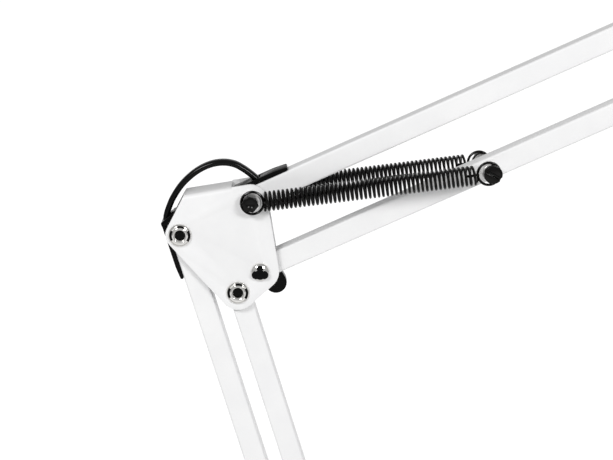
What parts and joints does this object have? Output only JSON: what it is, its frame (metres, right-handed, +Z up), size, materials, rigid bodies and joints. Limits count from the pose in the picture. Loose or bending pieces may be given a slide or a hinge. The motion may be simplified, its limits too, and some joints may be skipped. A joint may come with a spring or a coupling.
{
  "type": "swing arm desk lamp",
  "caption": "White desk lamp on a round weighted base: spring-balanced parallelogram arms of square tube, a folded elbow bracket and a tilting domed shade.",
  "frame": {"origin": "centre of the base's underside, on the table, under the swivel axis", "axes": "+Z up along the swivel axis; the arms swing in the XZ plane and the shade reaches towards +X"},
  "size_m": [0.5302, 0.2727, 0.687],
  "materials": {
    "white_paint": "satin white powder coat",
    "cast_iron": "rough casting",
    "pad_rubber": "matte",
    "zinc_steel": "bright zinc",
    "bright_nickel": "polished nickel",
    "black_steel": "black oxide, slightly glossy",
    "black_plastic": "moulded, slightly glossy",
    "washer_nylon": "nylon",
    "cord_sheath": "smooth sheath",
    "brass_pins": "bright",
    "opal_glass": "opal"
  },
  "bodies": {
    "base": {"base_pad": "pad_rubber", "base_weight": "cast_iron", "base_cover": "white_paint", "base_socket": "zinc_steel", "lead_gland": "cord_sheath", "mains_lead": "cord_sheath", "lead_coil": "cord_sheath", "lead_tie": "cord_sheath", "plug_body": "black_plastic", "plug_pins": "brass_pins"},
    "foot": {"swivel_pin": "zinc_steel", "foot_bracket": "white_paint", "foot_spring_bolt": "black_steel", "foot_spring_bushes": "zinc_steel", "foot_link_bolt": "bright_nickel", "foot_washers": "washer_nylon", "foot_cord": "cord_sheath"},
    "foot_knob": {"foot_knob": "black_plastic"},
    "lower_arm": {"lower_main_tube": "white_paint", "lower_saddles": "black_plastic"},
    "lower_link": {"lower_link_tube": "white_paint", "lower_link_plugs": "black_plastic", "lower_spring_bolt": "black_steel", "lower_spring_spacers": "zinc_steel"},
    "lower_springs": {"lower_spring_coils": "black_steel"},
    "lower_spring_ends": {"lower_spring_hooks": "black_steel"},
    "elbow": {"elbow_bracket": "white_paint", "elbow_spring_bolt": "black_steel", "elbow_spring_bushes": "zinc_steel", "elbow_rivets": "bright_nickel", "elbow_link_bolt": "bright_nickel", "elbow_washers": "washer_nylon", "elbow_cord": "cord_sheath"},
    "elbow_knob": {"elbow_knob": "black_plastic"},
    "upper_arm": {"upper_main_tube": "white_paint", "upper_saddles": "black_plastic"},
    "upper_link": {"upper_link_tube": "white_paint", "upper_link_plugs": "black_plastic", "upper_spring_bolt": "black_steel", "upper_spring_spacers": "zinc_steel"},
    "upper_springs": {"upper_spring_coils": "black_steel"},
    "upper_spring_ends": {"upper_spring_hooks": "black_steel"},
    "head": {"head_bracket": "white_paint", "head_rivets": "bright_nickel", "head_washers": "washer_nylon", "tilt_bolt": "bright_nickel", "head_cord": "cord_sheath"},
    "head_knob": {"head_knob": "black_plastic"},
    "shade": {"shade_lug": "white_paint", "shade_cap": "white_paint", "shade": "white_paint", "cord_grommet": "black_plastic", "lampholder": "black_plastic", "bulb_cap": "zinc_steel", "bulb_glass": "opal_glass", "switch_bezel": "bright_nickel"},
    "switch_button": {"switch_button": "black_plastic"}
  },
  "joints": [
    {"name": "base_swivel", "type": "hinge", "parent": "base", "child": "foot", "pos_m": [0, 0, 0.03], "axis": [0, 0, 1], "range_deg": [-170, 170]},
    {"name": "lower_swing", "type": "hinge", "parent": "foot", "child": "lower_arm", "pos_m": [-0.01285, 0, 0.0935], "axis": [0, 1, 0], "range_deg": [-8, 40]},
    {"name": "lower_link_follow", "type": "hinge", "parent": "foot", "child": "lower_link", "pos_m": [0.01285, 0, 0.0665], "axis": [0, 1, 0], "range_deg": [-8.5, 40.5]},
    {"name": "lower_spring_swing", "type": "hinge", "parent": "foot", "child": "lower_springs", "pos_m": [-0.01285, 0, 0.0935], "axis": [0, 1, 0], "range_deg": [-10.02, 48.1]},
    {"name": "lower_spring_stretch", "type": "slide", "parent": "lower_springs", "child": "lower_spring_ends", "axis": [-0.13, 0, 0.9915], "range_m": [-0.00425, 0.02045], "deforming": ["lower_spring_coils", "lower_spring_hooks", "foot_cord"]},
    {"name": "elbow_level", "type": "hinge", "parent": "lower_arm", "child": "elbow", "pos_m": [-0.12646, 0, 0.47703], "axis": [0, 1, 0], "range_deg": [-40.5, 8.5]},
    {"name": "upper_swing", "type": "hinge", "parent": "elbow", "child": "upper_arm", "pos_m": [-0.09456, 0, 0.49273], "axis": [0, -1, 0], "range_deg": [-30, 28]},
    {"name": "upper_link_follow", "type": "hinge", "parent": "elbow", "child": "upper_link", "pos_m": [-0.09056, 0, 0.45973], "axis": [0, -1, 0], "range_deg": [-30.5, 28.5]},
    {"name": "upper_spring_swing", "type": "hinge", "parent": "elbow", "child": "upper_springs", "pos_m": [-0.09456, 0, 0.49273], "axis": [0, -1, 0], "range_deg": [-30.5, 28.5]},
    {"name": "upper_spring_stretch", "type": "slide", "parent": "upper_springs", "child": "upper_spring_ends", "axis": [0.9928, 0, 0.12], "range_m": [-0.01584, 0.01696], "deforming": ["upper_spring_coils", "upper_spring_hooks", "elbow_cord", "head_cord"]},
    {"name": "head_level", "type": "hinge", "parent": "upper_arm", "child": "head", "pos_m": [0.27086, 0, 0.65542], "axis": [0, -1, 0], "range_deg": [-28.5, 30.5]},
    {"name": "shade_tilt", "type": "hinge", "parent": "head", "child": "shade", "pos_m": [0.31486, 0, 0.63942], "axis": [0, -1, 0], "range_deg": [-12, 70]},
    {"name": "foot_knob_turn", "type": "hinge", "parent": "foot", "child": "foot_knob", "pos_m": [0.01285, 0, 0.0665], "axis": [0, 1, 0], "continuous": true},
    {"name": "elbow_knob_turn", "type": "hinge", "parent": "elbow", "child": "elbow_knob", "pos_m": [-0.09056, 0, 0.45973], "axis": [0, 1, 0], "continuous": true},
    {"name": "head_knob_turn", "type": "hinge", "parent": "head", "child": "head_knob", "pos_m": [0.31486, 0, 0.63942], "axis": [0, 1, 0], "continuous": true},
    {"name": "switch_press", "type": "slide", "parent": "shade", "child": "switch_button", "axis": [0, 1, 0], "range_m": [0, 0.0015], "stiffness_N_per_m": 300, "springref_m": -0.0005}
  ],
  "couplings": [
    {"joint": "lower_link_follow", "follows": "lower_swing", "ratio": 1},
    {"joint": "lower_spring_swing", "follows": "lower_swing", "ratio": 1.19},
    {"joint": "lower_spring_stretch", "follows": "lower_swing", "m_per_rad": 0.029},
    {"joint": "elbow_level", "follows": "lower_swing", "ratio": -1},
    {"joint": "upper_link_follow", "follows": "upper_swing", "ratio": 1},
    {"joint": "upper_spring_swing", "follows": "upper_swing", "ratio": 1},
    {"joint": "upper_spring_stretch", "follows": "upper_swing", "m_per_rad": -0.032},
    {"joint": "head_level", "follows": "upper_swing", "ratio": -1}
  ]
}
